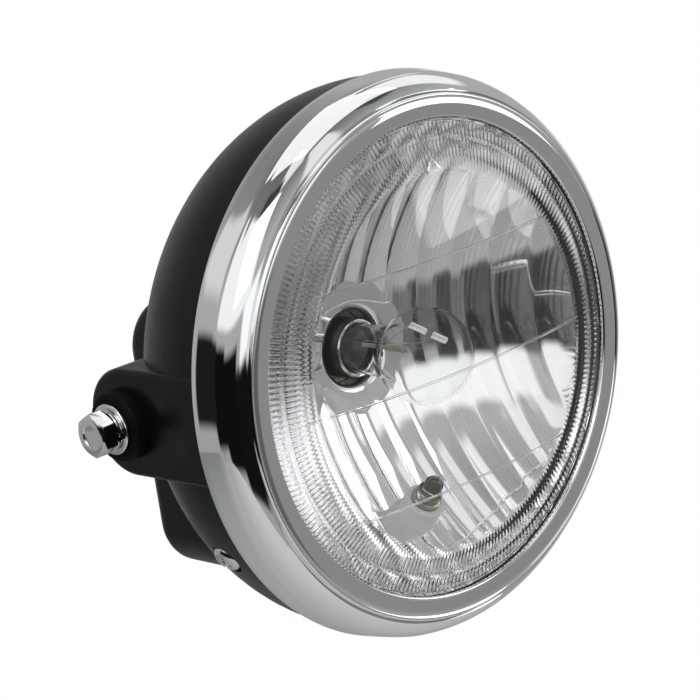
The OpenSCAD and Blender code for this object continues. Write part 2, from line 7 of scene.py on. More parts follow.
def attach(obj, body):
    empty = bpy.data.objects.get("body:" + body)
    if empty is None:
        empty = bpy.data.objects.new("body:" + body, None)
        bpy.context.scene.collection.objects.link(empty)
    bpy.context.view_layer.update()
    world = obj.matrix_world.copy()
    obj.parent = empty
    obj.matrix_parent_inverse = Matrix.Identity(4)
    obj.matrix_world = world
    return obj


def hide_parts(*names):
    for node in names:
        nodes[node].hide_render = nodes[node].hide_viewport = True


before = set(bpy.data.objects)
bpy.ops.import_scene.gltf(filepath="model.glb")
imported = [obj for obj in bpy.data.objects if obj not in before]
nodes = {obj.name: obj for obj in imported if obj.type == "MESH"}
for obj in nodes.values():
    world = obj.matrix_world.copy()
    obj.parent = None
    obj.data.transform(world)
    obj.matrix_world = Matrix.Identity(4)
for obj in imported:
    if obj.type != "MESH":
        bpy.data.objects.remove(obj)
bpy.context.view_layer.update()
mm = 0.001
within = 0.01 * mm      # how near a vertex has to be to a place to be picked
merged = 0.002 * mm     # vertices nearer than this are merged
rimRear = -35.0         # where the rim's rear edge lies along Y, in mm
print("frame loaded:", len(nodes), "nodes")

# camera, worked out from the circles of the rim
cameraSet = {
    "place": (-0.51878, -0.57471, 0.19201),
    "right": (0.70531, -0.69442, -0.14255),
    "up": (0.27111, 0.07843, 0.95935),
    "lens": 125.579,
    "sensor": 36.0,
}


def addCamera(look):
    cameraData = bpy.data.cameras.new("camera")
    cameraData.lens = look["lens"]
    cameraData.sensor_width = look["sensor"]
    cameraData.clip_start = 0.01
    cameraData.clip_end = 50
    camera = bpy.data.objects.new("camera", cameraData)
    bpy.context.scene.collection.objects.link(camera)
    right = Vector(look["right"]).normalized()
    up = Vector(look["up"])
    up = (up - right * up.dot(right)).normalized()
    turned = Matrix((right, up, right.cross(up))).transposed()
    camera.matrix_world = Matrix.Translation(Vector(look["place"])) @ turned.to_4x4()
    bpy.context.scene.camera = camera


addCamera(cameraSet)

# materials
materials = {}


def link(tree, fromNode, fromSocket, toNode, toSocket):
    tree.links.new(fromNode.outputs[fromSocket], toNode.inputs[toSocket])


def addNode(tree, kind, **values):
    made = tree.nodes.new(kind)
    for key, value in values.items():
        if key in made.inputs:
            made.inputs[key].default_value = value
        else:
            setattr(made, key, value)
    return made


def makeMaterial(name, look):
    material = bpy.data.materials.new(name)
    material.use_nodes = True
    tree = material.node_tree
    shader = tree.nodes["Principled BSDF"]
    for socket, value in look.get("shader", {}).items():
        shader.inputs[socket].default_value = value
    place = addNode(tree, "ShaderNodeTexCoord")
    if "tint" in look:                      # two close colours in soft patches
        patches = addNode(tree, "ShaderNodeTexNoise", Scale=look["tintScale"], Detail=4.0)
        ramp = addNode(tree, "ShaderNodeValToRGB")
        ramp.color_ramp.elements[0].position = 0.35
        ramp.color_ramp.elements[1].position = 0.65
        ramp.color_ramp.elements[0].color = (*look["tint"][0], 1)
        ramp.color_ramp.elements[1].color = (*look["tint"][1], 1)
        link(tree, place, "Object", patches, "Vector")
        link(tree, patches, "Fac", ramp, "Fac")
        link(tree, ramp, "Color", shader, "Base Color")
    if "rough" in look:                     # roughness wanders between two values
        wear = addNode(tree, "ShaderNodeTexNoise", Scale=look["roughScale"], Detail=6.0)
        span = addNode(tree, "ShaderNodeMapRange")
        span.inputs["From Min"].default_value = 0.3
        span.inputs["From Max"].default_value = 0.7
        span.inputs["To Min"].default_value = look["rough"][0]
        span.inputs["To Max"].default_value = look["rough"][1]
        link(tree, place, "Object", wear, "Vector")
        link(tree, wear, "Fac", span, "Value")
        link(tree, span, "Result", shader, "Roughness")
    if "grain" in look:                     # fine relief
        grain = addNode(tree, "ShaderNodeTexNoise", Scale=look["grainScale"], Detail=3.0)
        bump = addNode(tree, "ShaderNodeBump", Strength=look["grain"], Distance=0.0002)
        link(tree, place, "Object", grain, "Vector")
        link(tree, grain, "Fac", bump, "Height")
        link(tree, bump, "Normal", shader, "Normal")
    materials[name] = material
    return material


finishes = {
    "chromePlate": {
        "shader": {"Metallic": 1.0},
        "tint": [(0.84, 0.86, 0.86), (0.88, 0.895, 0.90)], "tintScale": 14.0,
        "rough": (0.03, 0.06), "roughScale": 40.0},
    "mirrorCoat": {
        "shader": {"Metallic": 1.0},
        "tint": [(0.93, 0.935, 0.95), (0.96, 0.962, 0.97)], "tintScale": 20.0,
        "rough": (0.03, 0.06), "roughScale": 60.0},
    "clearGlass": {
        "shader": {"Base Color": (0.99, 0.998, 0.993, 1), "Transmission Weight": 1.0, "IOR": 1.5,
                   "Roughness": 0.0}},
    "bulbGlass": {
        "shader": {"Base Color": (0.99, 0.995, 0.99, 1), "Transmission Weight": 1.0, "IOR": 1.2,
                   "Roughness": 0.0}},
    "blackPlastic": {
        "shader": {"Specular IOR Level": 0.2},
        "tint": [(0.0035, 0.0035, 0.004), (0.0055, 0.0055, 0.006)], "tintScale": 30.0,
        "rough": (0.26, 0.34), "roughScale": 90.0, "grain": 0.12, "grainScale": 2200.0},
    "blackRubber": {
        "shader": {"Specular IOR Level": 0.08},
        "tint": [(0.003, 0.003, 0.003), (0.006, 0.006, 0.006)], "tintScale": 60.0,
        "rough": (0.5, 0.65), "roughScale": 200.0, "grain": 0.2, "grainScale": 1800.0},
    "zincPlate": {
        "shader": {"Metallic": 1.0},
        "tint": [(0.60, 0.60, 0.59), (0.72, 0.72, 0.71)], "tintScale": 150.0,
        "rough": (0.16, 0.28), "roughScale": 400.0, "grain": 0.12, "grainScale": 1500.0},
    "brightSteel": {
        "shader": {"Metallic": 1.0},
        "tint": [(0.66, 0.655, 0.64), (0.76, 0.755, 0.74)], "tintScale": 90.0,
        "rough": (0.08, 0.16), "roughScale": 300.0},
    "creamCeramic": {
        "tint": [(0.72, 0.68, 0.55), (0.80, 0.77, 0.66)], "tintScale": 200.0,
        "rough": (0.3, 0.45), "roughScale": 300.0},
    # the white plastic below carries a painted glow: a faint emission brightens the parking light's
    # holder, which is no lamp
    "whitePlastic": {
        "shader": {"Emission Color": (0.9, 0.93, 0.88, 1), "Emission Strength": 0.15},
        "tint": [(0.86, 0.88, 0.85), (0.92, 0.93, 0.90)], "tintScale": 80.0,
        "rough": (0.3, 0.42), "roughScale": 160.0, "grain": 0.1, "grainScale": 1500.0},
    "dullNickel": {
        "shader": {"Metallic": 1.0},
        "tint": [(0.40, 0.38, 0.33), (0.50, 0.47, 0.41)], "tintScale": 120.0,
        "rough": (0.28, 0.42), "roughScale": 300.0},
    "brassPlate": {
        "shader": {"Metallic": 1.0},
        "tint": [(0.62, 0.45, 0.18), (0.72, 0.55, 0.26)], "tintScale": 120.0,
        "rough": (0.22, 0.35), "roughScale": 300.0},
    # painted shade: the dark brown below stands for the shade on the bulb's glass foot deep in the
    # reflector's throat
    "smokedBase": {
        "tint": [(0.09, 0.083, 0.062), (0.16, 0.15, 0.12)], "tintScale": 160.0,
        "rough": (0.15, 0.3), "roughScale": 200.0},
    # the coil wire below carries a painted glint: an emission makes the unlit coils shine like the
    # glints on them
    "coilWire": {
        "shader": {"Emission Color": (1, 1, 1, 1), "Emission Strength": 0.3},
        "tint": [(0.80, 0.80, 0.80), (0.88, 0.88, 0.88)], "tintScale": 200.0,
        "rough": (0.3, 0.4), "roughScale": 300.0},
    # painted shade: the dark metal below stands for the shade on the bulb's cap deep in the
    # reflector's throat
    "smokedMetal": {
        "shader": {"Metallic": 1.0},
        "tint": [(0.10, 0.095, 0.08), (0.15, 0.14, 0.12)], "tintScale": 120.0,
        "rough": (0.3, 0.45), "roughScale": 300.0},
    "brownPhenolic": {
        "tint": [(0.035, 0.022, 0.015), (0.05, 0.032, 0.022)], "tintScale": 90.0,
        "rough": (0.35, 0.5), "roughScale": 200.0},
}

for name, look in finishes.items():
    makeMaterial(name, look)

nodeFinish = {
    "bucket": "blackPlastic", "rim": "chromePlate", "lens": "clearGlass",
    "lens_gasket": "blackRubber", "reflector": "mirrorCoat", "mounting_ring": "zincPlate",
    "rim_screws": "brightSteel", "clip_nuts": "zincPlate", "bulb_glass": "bulbGlass",
    "bulb_stem": "creamCeramic", "filament": "brightSteel", "bulb_cap": "dullNickel",
    "bulb_contacts": "zincPlate", "bulb_socket": "brownPhenolic", "socket_spring": "brightSteel",
    "socket_terminals": "brassPlate", "rubber_boot": "blackRubber",
    "pilot_holder": "whitePlastic", "pilot_cup": "brightSteel", "pilot_bulb": "bulbGlass",
    "pilot_contacts": "brassPlate", "ear_bushes": "blackRubber", "flat_washers": "brightSteel",
    "spring_washers": "brightSteel", "ear_bolts": "brightSteel", "ear_nuts": "zincPlate",
    "cable_grommet": "blackRubber",
}

for name, node in nodes.items():
    for place in node.material_slots:
        place.material = materials[nodeFinish[name]]
print("materials made:", len(materials))


# modelling helpers
def deselectAll():
    if bpy.context.mode != "OBJECT":
        bpy.ops.object.mode_set(mode="OBJECT")
    bpy.ops.object.select_all(action="DESELECT")


def choose(piece):                          # the piece alone selected and active
    deselectAll()
    piece.select_set(True)
    bpy.context.view_layer.objects.active = piece


def work(piece):                            # the same, in edit mode
    choose(piece)
    bpy.ops.object.mode_set(mode="EDIT")


def pick(kind, test):                       # selects what passes the test
    bpy.ops.mesh.select_all(action="DESELECT")
    data = bpy.context.edit_object.data
    mesh = bmesh.from_edit_mesh(data)
    for part in getattr(mesh, kind):
        if test(part):
            part.select_set(True)
    mesh.select_flush_mode()
    bmesh.update_edit_mesh(data)


def pickFaces(test):
    bpy.ops.mesh.select_mode(type="FACE")
    pick("faces", test)


def pickEdges(test):
    bpy.ops.mesh.select_mode(type="EDGE")
    pick("edges", test)


def pickVerts(test):
    bpy.ops.mesh.select_mode(type="VERT")
    pick("verts", test)


def mergeClose():
    bpy.ops.mesh.select_all(action="SELECT")
    bpy.ops.mesh.remove_doubles(threshold=merged)


def faceOut():                              # every face of the edited mesh outwards
    bpy.ops.mesh.select_all(action="SELECT")
    bpy.ops.mesh.normals_make_consistent(inside=False)


def drawLine(points):                       # extrudes a point from place to place, in metres
    deselectAll()
    bpy.ops.mesh.primitive_plane_add(size=mm)
    bpy.ops.object.mode_set(mode="EDIT")
    bpy.ops.mesh.select_mode(type="VERT")
    bpy.ops.mesh.merge(type="CENTER")
    bpy.ops.transform.translate(value=points[0])
    for start, end in zip(points, points[1:]):
        bpy.ops.mesh.extrude_vertices_move(TRANSFORM_OT_translate={"value": end - start})
    mergeClose()
    return bpy.context.object


# draws a section of (radius, along) in mm, and spins it about an axis
def turn(name, section, steps=96, base=(0, rimRear, 0), axis=(0, 1, 0), side=(1, 0, 0),
         angle=360.0):
    base, axis, side = Vector(base) * mm, Vector(axis), Vector(side)
    points = [base + (side * radius + axis * along) * mm for radius, along in section]
    if section[0][0] > 0:                   # a ring's section closes on itself
        points.append(points[0])
    piece = drawLine(points)
    piece.name = name
    bpy.ops.mesh.spin(steps=steps, angle=math.radians(angle), center=base, axis=axis)
    mergeClose()
    if angle < 360:                         # closes the two cut ends
        bpy.ops.mesh.select_mode(type="EDGE")
        bpy.ops.mesh.select_all(action="DESELECT")
        bpy.ops.mesh.select_non_manifold()
        bpy.ops.mesh.edge_face_add()
    faceOut()
    bpy.ops.object.mode_set(mode="OBJECT")
    return piece


outX = {"base": (0, 0, 0), "axis": (1, 0, 0), "side": (0, 1, 0)}      # turned about the X axis


def rollX(piece, angle):                    # turns a mesh about the X axis, stays in edit mode
    work(piece)
    bpy.ops.mesh.select_all(action="SELECT")
    bpy.ops.transform.rotate(value=math.radians(angle), orient_axis="X",
                             center_override=(0, 0, 0))


def curved(start, end, height, count):      # points from start to end that swell to one side
    start, end = Vector(start), Vector(end)
    run = end - start
    out = Vector((run.y, -run.x)).normalized() * height
    return [tuple(start + run * (i / count) + out * (4 * i / count * (1 - i / count)))
            for i in range(count + 1)]


def arc(centre, radius, first, last, count):    # angles in degrees
    angles = [math.radians(first + (last - first) * i / count) for i in range(count + 1)]
    return [(centre[0] + radius * math.cos(angle), centre[1] + radius * math.sin(angle))
            for angle in angles]


def modify(piece, kind, **values):          # adds a modifier and applies it
    choose(piece)
    bpy.ops.object.modifier_add(type=kind)
    modifier = piece.modifiers[-1]
    for key, value in values.items():
        setattr(modifier, key, value)
    bpy.ops.object.modifier_apply(modifier=modifier.name)


def cut(piece, tool, operation="DIFFERENCE"):
    modify(piece, "BOOLEAN", operation=operation, solver="EXACT", object=tool)
    bpy.data.objects.remove(tool)


def drill(piece, stages, steps, **where):   # stages are (radius, start, end) along the axis
    section = [(0, stages[0][1])]
    for radius, start, end in stages:
        section += [(radius, start), (radius, end)]
    cut(piece, turn("drill", section + [(0, stages[-1][2])], steps, **where))


def softEdges(piece, width, limit):         # bevels the edges sharper than limit
    modify(piece, "BEVEL", width=width * mm, segments=2, limit_method="ANGLE",
           angle_limit=math.radians(limit))


def applyPlace(piece):                      # the object back to the origin, its place in its mesh
    choose(piece)
    bpy.ops.object.transform_apply(location=True, rotation=True, scale=True)


def block(centre, size):                    # a box, in mm
    deselectAll()
    bpy.ops.mesh.primitive_cube_add(size=1, location=Vector(centre) * mm)
    piece = bpy.context.object
    piece.scale = Vector(size) * mm
    applyPlace(piece)
    return piece


def copyTurned(piece, name, angle, axis):   # a copy with its own mesh, turned about the origin
    choose(piece)
    bpy.ops.object.duplicate(linked=False)
    copy = bpy.context.object
    copy.name = name
    copy.rotation_euler["XYZ".index(axis)] = math.radians(angle)
    applyPlace(copy)
    return copy


def joinPieces(name, pieces):               # into the first of them
    deselectAll()
    for piece in pieces:
        piece.select_set(True)
    bpy.context.view_layer.objects.active = pieces[0]
    bpy.ops.object.join()
    pieces[0].name = name
    return pieces[0]


# smooths and paints a finished piece, hangs it under the root body and hides the nodes it replaces
def dress(piece, finish, slotName, *replaced, sharp=30):
    choose(piece)
    bpy.ops.object.shade_smooth_by_angle(angle=math.radians(sharp))
    piece.data.materials.clear()
    piece.data.materials.append(materials[finish])
    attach(piece, "root")
    if replaced:
        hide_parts(*replaced)
    print("built", piece.name, len(piece.data.polygons), "faces")


# chrome rim: hemmed skirt, roll, groove, bead and flat ring
rimSize = {
    "rearRadius": 90.0, "hem": 0.5, "sheet": 1.2,
    "skirt": [(0.3, -2.4), (0.6, -4.6), (0.95, -7.2)],      # inwards from the rear, and along
    "skirtFront": (88.6, -9.9), "rollFront": (83.3, -16.4), "rollBulge": 0.8,
    "grooveBottom": (82.9, -15.4), "beadFrom": (82.5, -16.7), "beadTo": (80.9, -17.2),
    "beadBulge": 0.62, "ring": [(80.4, -17.4), (78.2, -17.38), (75.9, -17.4)],
    "lip": 0.8, "opening": 74.9, "ringBack": -16.2, "grooveBack": -14.8, "rollBack": -14.4,
    "steps": 256,
    "tab": {"width": 12.0, "depth": 0.8, "inner": 84.9, "outer": 87.5, "y": -9.3,
            "edge": 0.25, "angles": (45, 135, 225, 315)},
}


def buildRim(size):
    rear, sheet, lip = size["rearRadius"], size["sheet"], size["lip"]
    skirt, roll = size["skirtFront"], size["rollFront"]
    beadFrom, beadTo = size["beadFrom"], size["beadTo"]
    outside = arc((rear - size["hem"], -0.4), size["hem"], 90, 0, 5)
    outside += [(rear - drop, along) for drop, along in size["skirt"]]
    outside += [(skirt[0] + 0.05, skirt[1] + 0.35), (skirt[0] - 0.12, skirt[1] + 0.05)]
    outside += curved((skirt[0] - 0.2, skirt[1] - 0.15), roll, -size["rollBulge"], 20)
    outside += [(roll[0] - 0.14, roll[1] + 0.35), size["grooveBottom"],
                (beadFrom[0] + 0.1, beadFrom[1] + 0.4)]
    outside += curved(beadFrom, beadTo, -size["beadBulge"], 12) + size["ring"]
    outside += arc((size["opening"] + lip, size["ring"][-1][1] + lip), lip, -75, -180, 5)
    inside = [(size["opening"], size["ringBack"]), (beadTo[0], size["ringBack"]),
              (beadFrom[0], size["grooveBack"])]
    inside += curved((roll[0], size["rollBack"]), (skirt[0] - sheet, skirt[1] + 0.2),
                     size["rollBulge"], 10)
    inside += [(rear - sheet, -0.3)]
    rim = turn("rimShell", outside + inside, size["steps"])
    tab = size["tab"]
    fold = block(((tab["inner"] + tab["outer"]) / 2, rimRear + tab["y"] + tab["depth"] / 2, 0),
                 (tab["outer"] - tab["inner"], tab["depth"], tab["width"]))
    softEdges(fold, tab["edge"], 60)        # one of the tabs folded over the mounting ring
    tabs = [copyTurned(fold, "tab", angle, "Y") for angle in tab["angles"]]
    bpy.data.objects.remove(fold)
    return joinPieces("rimShell", [rim] + tabs)


dress(buildRim(rimSize), "chromePlate", "chrome_rim", "rim", sharp=35)

# domed glass: flange, two bands of fine ribs, three moulded lines and a small arrow
lensSize = {
    "steps": 1024, "radius": 74.5, "apex": -26.6, "curve": 282.5125, "thick": 3.5,
    "flangeRadius": 79.9, "flangeFront": -15.4, "flangeBack": -11.7,
    "frontRows": 18, "backRows": 12,
    "bands": [(73.1, 69.3), (67.6, 62.6)], "bandEdge": 0.3, "ribHeight": 0.38,
    "ribColumns": 4, "ribShape": [(1, 0.75), (2, 1.0), (3, 0.75)],      # column and share
    "lines": [33.0, -3.0, -39.0], "lineWidth": 0.8, "lineHeight": 0.45, "lineEnd": 0.6,
    "layFrom": -12.0, "layGap": 0.04,
    "arrow": {"x": 5.0, "z": 60.0, "size": 4.2, "border": 0.9, "height": 0.5},
}


def domeY(size, radius, inset=0.0):         # the dome's place along Y at a radius
    return size["apex"] + size["curve"] - math.sqrt((size["curve"] - inset) ** 2 - radius ** 2)


def buildLens(size):
    radius, thick, near = size["radius"], size["thick"], size["bandEdge"]
    rows = [radius * i / size["frontRows"] for i in range(size["frontRows"] + 1)]
    front = [(r, domeY(size, r)) for r in rows]
    edge = [(radius + 0.15, -16.2), (radius + 0.2, size["flangeFront"] - 0.2),
            (radius + 0.5, size["flangeFront"]), (size["flangeRadius"], size["flangeFront"]),
            (size["flangeRadius"], size["flangeBack"]), (radius - 0.9, size["flangeBack"])]
    radii = [radius - 1.0]
    for outer, inner in size["bands"]:
        radii += [outer, outer - near, inner + near, inner]
    count = size["backRows"]
    radii += [size["bands"][-1][1] * i / count for i in range(count - 1, -1, -1)]
    back = [(r, domeY(size, r, thick)) for r in radii]
    lens = turn("lensGlass", front + edge + back, size["steps"])
    bpy.ops.object.mode_set(mode="EDIT")
    ribbed = [r for outer, inner in size["bands"] for r in (outer - near, inner + near)]
    stepAngle = 2 * math.pi / size["steps"]

    for column, share in size["ribShape"]:
        def onRib(vert):                    # on the inside, at a rib's end, in this column
            r = math.hypot(vert.co.x, vert.co.z) / mm
            if not any(abs(r - rib) < 0.05 for rib in ribbed):
                return False
            if abs(vert.co.y / mm - rimRear - domeY(size, r, thick)) > 0.2:
                return False
            step = round(math.atan2(vert.co.z, vert.co.x) / stepAngle)
            return step % size["ribColumns"] == column

        pickVerts(onRib)
        bpy.ops.transform.translate(value=(0, size["ribHeight"] * share * mm, 0))
    bpy.ops.object.mode_set(mode="OBJECT")
    return lens


# lays a flat piece on the inside of the glass and thickens it
def hugGlass(piece, lens, gap, height):
    modify(piece, "SHRINKWRAP", target=lens, wrap_method="PROJECT", use_project_x=False,
           use_project_y=True, use_project_z=False, use_positive_direction=False,
           use_negative_direction=True, offset=gap * mm)
    modify(piece, "SOLIDIFY", thickness=height * mm, offset=-1.0)
    work(piece)
    faceOut()
    bpy.ops.object.mode_set(mode="OBJECT")


def buildLines(size, lens):
    strips = []
    inner = size["bands"][-1][1] - size["lineEnd"]
    layY = (rimRear + size["layFrom"]) * mm
    for z in size["lines"]:
        half = math.sqrt(inner ** 2 - z ** 2)
        deselectAll()
        bpy.ops.mesh.primitive_grid_add(x_subdivisions=72, y_subdivisions=2, size=1,
                                        rotation=(math.radians(90), 0, 0))
        strip = bpy.context.object
        bpy.ops.object.mode_set(mode="EDIT")
        bpy.ops.transform.resize(value=(2 * half * mm, 1, size["lineWidth"] * mm))
        bpy.ops.transform.translate(value=(0, layY, z * mm))
        applyPlace(strip)
        hugGlass(strip, lens, size["layGap"], size["lineHeight"])
        softEdges(strip, 0.18, 50)
        strips.append(strip)
    arrow = size["arrow"]
    deselectAll()
    bpy.ops.mesh.primitive_circle_add(vertices=3, radius=arrow["size"] * mm, fill_type="NGON",
                                      rotation=(math.radians(90), 0, 0))
    mark = bpy.context.object
    applyPlace(mark)
    bpy.ops.object.mode_set(mode="EDIT")
    bpy.ops.mesh.select_all(action="SELECT")
    bpy.ops.mesh.inset(thickness=arrow["border"] * mm)
    bpy.ops.mesh.delete(type="FACE")
    bpy.ops.mesh.select_all(action="SELECT")
    bpy.ops.mesh.subdivide(number_cuts=3)
    bpy.ops.transform.translate(value=(arrow["x"] * mm, layY, arrow["z"] * mm))
    hugGlass(mark, lens, size["layGap"], arrow["height"])
    return joinPieces("lensMarks", strips + [mark])


lensGlass = buildLens(lensSize)
lensMarks = buildLines(lensSize, lensGlass)
dress(lensGlass, "clearGlass", "lens_glass", "lens", sharp=50)
dress(lensMarks, "clearGlass", "lens_glass", sharp=50)

# fluted reflector: a grid raised column by column and row by row, cut out of a turned shell
reflectorSize = {
    "radius": 74.5, "focal": 34.7, "apex": 28.29, "fluteWidth": 11.0, "fluteDepth": 0.7,
    "perFlute": 12, "rows": 72, "flangeBack": -11.7, "ringFront": -10.5, "flangeRadius": 79.9,
    "wall": 1.6, "collar": 25.41, "collarRadius": 20.0, "throat": 15.0, "neck": 12.0,
    "neckOut": 15.3, "neckBack": 37.41, "steps": 192, "rearRows": 12, "blockFront": 90.0,
    "pilot": {"drop": 54.0, "tilt": 50.0, "radius": 6.7},
}


def pilotFrame(size):                       # base point and axis of the parking light
    drop, tilt = size["pilot"]["drop"], math.radians(size["pilot"]["tilt"])
    y = size["apex"] - drop ** 2 / (4 * size["focal"])
    return (0, rimRear + y, -drop), (0, -math.sin(math.pi / 2 - tilt), math.cos(math.pi / 2 - tilt))


def mirrorTool(size):
    fluteWidth, focal = size["fluteWidth"], size["focal"]
    flutes = math.ceil(size["radius"] / fluteWidth) * 2 + 1
    half = flutes * fluteWidth / 2
    columns, rows = flutes * size["perFlute"], size["rows"]
    deselectAll()
    bpy.ops.mesh.primitive_grid_add(x_subdivisions=columns, y_subdivisions=rows, size=2 * mm,
                                    rotation=(math.radians(90), 0, 0))
    tool = bpy.context.object
    applyPlace(tool)
    bpy.ops.object.mode_set(mode="EDIT")
    reach = size["radius"] + 1
    bpy.ops.transform.resize(value=(half, 1, reach))
    bpy.ops.transform.translate(value=(0, rimRear * mm, 0))
    bpy.ops.mesh.select_mode(type="VERT")
    for i in range(columns + 1):
        x = half * (2 * i / columns - 1)
        share = x / fluteWidth - round(x / fluteWidth)
        rise = size["apex"] - x * x / (4 * focal) + size["fluteDepth"] * (1 - 4 * share * share)
        pick("verts", lambda vert: abs(vert.co.x - x * mm) < within)
        bpy.ops.transform.translate(value=(0, rise * mm, 0))
    for j in range(rows + 1):
        z = reach * (2 * j / rows - 1)
        pick("verts", lambda vert: abs(vert.co.z - z * mm) < within)
        bpy.ops.transform.translate(value=(0, -z * z / (4 * focal) * mm, 0))
    bpy.ops.mesh.select_all(action="SELECT")    # now a block in front of the mirror
    front = (rimRear + size["flangeBack"] - size["blockFront"]) * mm
    bpy.ops.mesh.extrude_region_move(TRANSFORM_OT_translate={"value": (0, front, 0)})
    bpy.ops.transform.resize(value=(1, 0, 1), center_override=(0, front, 0))
    faceOut()
    bpy.ops.object.mode_set(mode="OBJECT")
    return tool


def buildReflector(size):
    wall, focal, apex = size["wall"], size["focal"], size["apex"]
    radius, collar = size["radius"], size["collar"]
    rear, count = [], size["rearRows"]
    for i in range(count + 1):
        r = radius + wall + (size["collarRadius"] - 1 - radius - wall) * i / count
        rear.append((r, apex - (r - wall) ** 2 / (4 * focal) + wall + size["fluteDepth"]))
    body = turn("reflectorShell", [
        (0, size["flangeBack"]), (size["flangeRadius"], size["flangeBack"]),
        (size["flangeRadius"], size["ringFront"]), (radius + wall, size["ringFront"])] + rear + [
        (size["neckOut"], collar + wall + 1.4), (size["neckOut"], size["neckBack"]),
        (0, size["neckBack"])], size["steps"])
    disc = turn("disc", [
        (0, size["flangeBack"] - 3), (radius, size["flangeBack"] - 3), (radius, collar),
        (0, collar)], size["steps"])
    cut(disc, mirrorTool(size), "INTERSECT")
    cut(body, disc)
    throat = [(0, collar - 1), (size["throat"] + 0.4, collar - 1)]
    reach = size["throat"] - size["neck"]
    throat += arc((size["throat"], collar + reach), reach, -90, -180, 8)
    throat += [(size["neck"], size["neckBack"] + 1), (0, size["neckBack"] + 1)]
    cut(body, turn("bore", throat, 96))
    base, axis = pilotFrame(size)
    drill(body, [(size["pilot"]["radius"], -12, 12)], 64, base=base, axis=axis)
    work(body)
    collarY = (rimRear + collar) * mm       # the collar's edge stays sharp
    pickFaces(lambda face: abs(face.calc_center_median().y - collarY) < 2 * within)
    bpy.ops.mesh.region_to_loop()
    bpy.ops.mesh.mark_sharp()
    bpy.ops.object.mode_set(mode="OBJECT")
    return body


dress(buildReflector(reflectorSize), "mirrorCoat", "reflector_mirror", "reflector", sharp=20)

# main bulb: thin round glass, cream rod and coils on their wires
bulbSize = {
    "centre": -6.0, "radius": 15.5, "neck": 8.0, "wall": 0.5, "back": 34.41,
    "coils": [{"from": (-1.5, 9.8), "to": (-8.0, 7.9)}, {"from": (-10.6, 7.2), "to": (-16.2, 5.6)}],
    "shoulder": [(0.55, 3.2), (0.2, 5.0), (0.0, 8.0)],      # outwards from the neck, and along
    "coilRadius": 0.85, "wire": 0.28, "turns": 7, "perTurn": 10,
    "rod": {"radius": 1.1, "front": 0.8, "back": 21.0, "z": 1.4},
}


def buildBulbGlass(size):
    def outline(radius, neck):
        lean = math.degrees(math.asin((neck + 1) / radius))
        points = arc((0, size["centre"]), radius, -90, 90 - lean, 28)
        points += [(neck + out, size["centre"] + radius + along)
                   for out, along in size["shoulder"]]
        return points + [(neck, size["back"])]

    outer = outline(size["radius"], size["neck"])
    inner = outline(size["radius"] - size["wall"], size["neck"] - size["wall"])
    return turn("bulbGlobe", outer + inner[::-1], 96)


dress(buildBulbGlass(bulbSize), "bulbGlass", "bulb_glass", "bulb_glass", sharp=50)

# what is seen of the main bulb's foot: cap with a bright rim, its body and the mount coloured dark
# as painted shade of the throat, cream rod, wires
footSize = {
    "rim": 9.4, "front": 23.2, "body": 9.8, "flange": 11.8, "neckBack": 37.41, "back": 46.41,
    "inner": 8.1, "neck": 9.5, "mount": 7.0, "mountFront": 24.6, "mountDepth": 9.5,
    "wireRadius": 0.22,
    "leads": [((-2.2, 24.0, 3.4), (-1.6, 8.6, 3.8), (-0.9, -1.5, 9.6)),
              ((2.0, 24.0, 2.0), (1.4, 4.0, 2.8), (0.2, -16.4, 5.5))],
}


def wire(name, places, radius):             # a round wire through the given places, in mm
    deselectAll()
    bpy.ops.mesh.primitive_circle_add(vertices=10, radius=radius * mm, fill_type="NGON")
    piece = bpy.context.object
    piece.name = name
    first = (Vector(places[1]) - Vector(places[0])).normalized()
    piece.rotation_euler = Vector((0, 0, 1)).rotation_difference(first).to_euler()
    piece.location = Vector(places[0]) * mm
    applyPlace(piece)
    bpy.ops.object.mode_set(mode="EDIT")
    bpy.ops.mesh.select_all(action="SELECT")
    for start, end in zip(places, places[1:]):
        step = (Vector(end) - Vector(start)) * mm
        bpy.ops.mesh.extrude_region_move(TRANSFORM_OT_translate={"value": step})
    faceOut()
    bpy.ops.object.mode_set(mode="OBJECT")
    return piece


def inPart(place):                          # from the rim's rear edge to the part's frame
    return (place[0], place[1] + rimRear, place[2])


def buildCap(size):
    rim, front, body, inner = size["rim"], size["front"], size["body"], size["inner"]
    flange, neck, seat, back = size["flange"], size["neck"], size["neckBack"], size["back"]
    bright = turn("bulbCap", [
        (inner, front + 0.9), (inner + 0.2, front + 0.25), (rim - 0.4, front),
        (rim, front + 0.3), (rim, front + 0.9)])
    dark = turn("bulbBase", [
        (inner, front + 0.9), (rim, front + 0.9), (rim, front + 1.4), (body, front + 2.2),
        (body, seat - 4), (flange, seat - 4), (flange, seat - 0.1), (neck, seat - 0.1),
        (neck, back - 1), (neck - 1, back), (inner, back)])
    return bright, dark


def buildMount(size):
    radius, front = size["mount"], size["mountFront"]
    back = front + size["mountDepth"]
    return turn("bulbMount", [(0, front), (radius - 0.6, front + 0.1), (radius, front + 0.8),
                              (radius, back), (0, back)], 64)


def buildRod(size):
    rod = size["rod"]
    radius, front = rod["radius"], rod["front"]
    points = [(0, front), (radius * 0.5, front + 0.1), (radius, front + 1.2),
              (radius, front + 8.5), (radius * 0.7, front + 10.5),
              (radius * 0.6, rod["back"]), (0, rod["back"])]
    return turn("bulbRod", points, 32, base=(0, rimRear, rod["z"]))


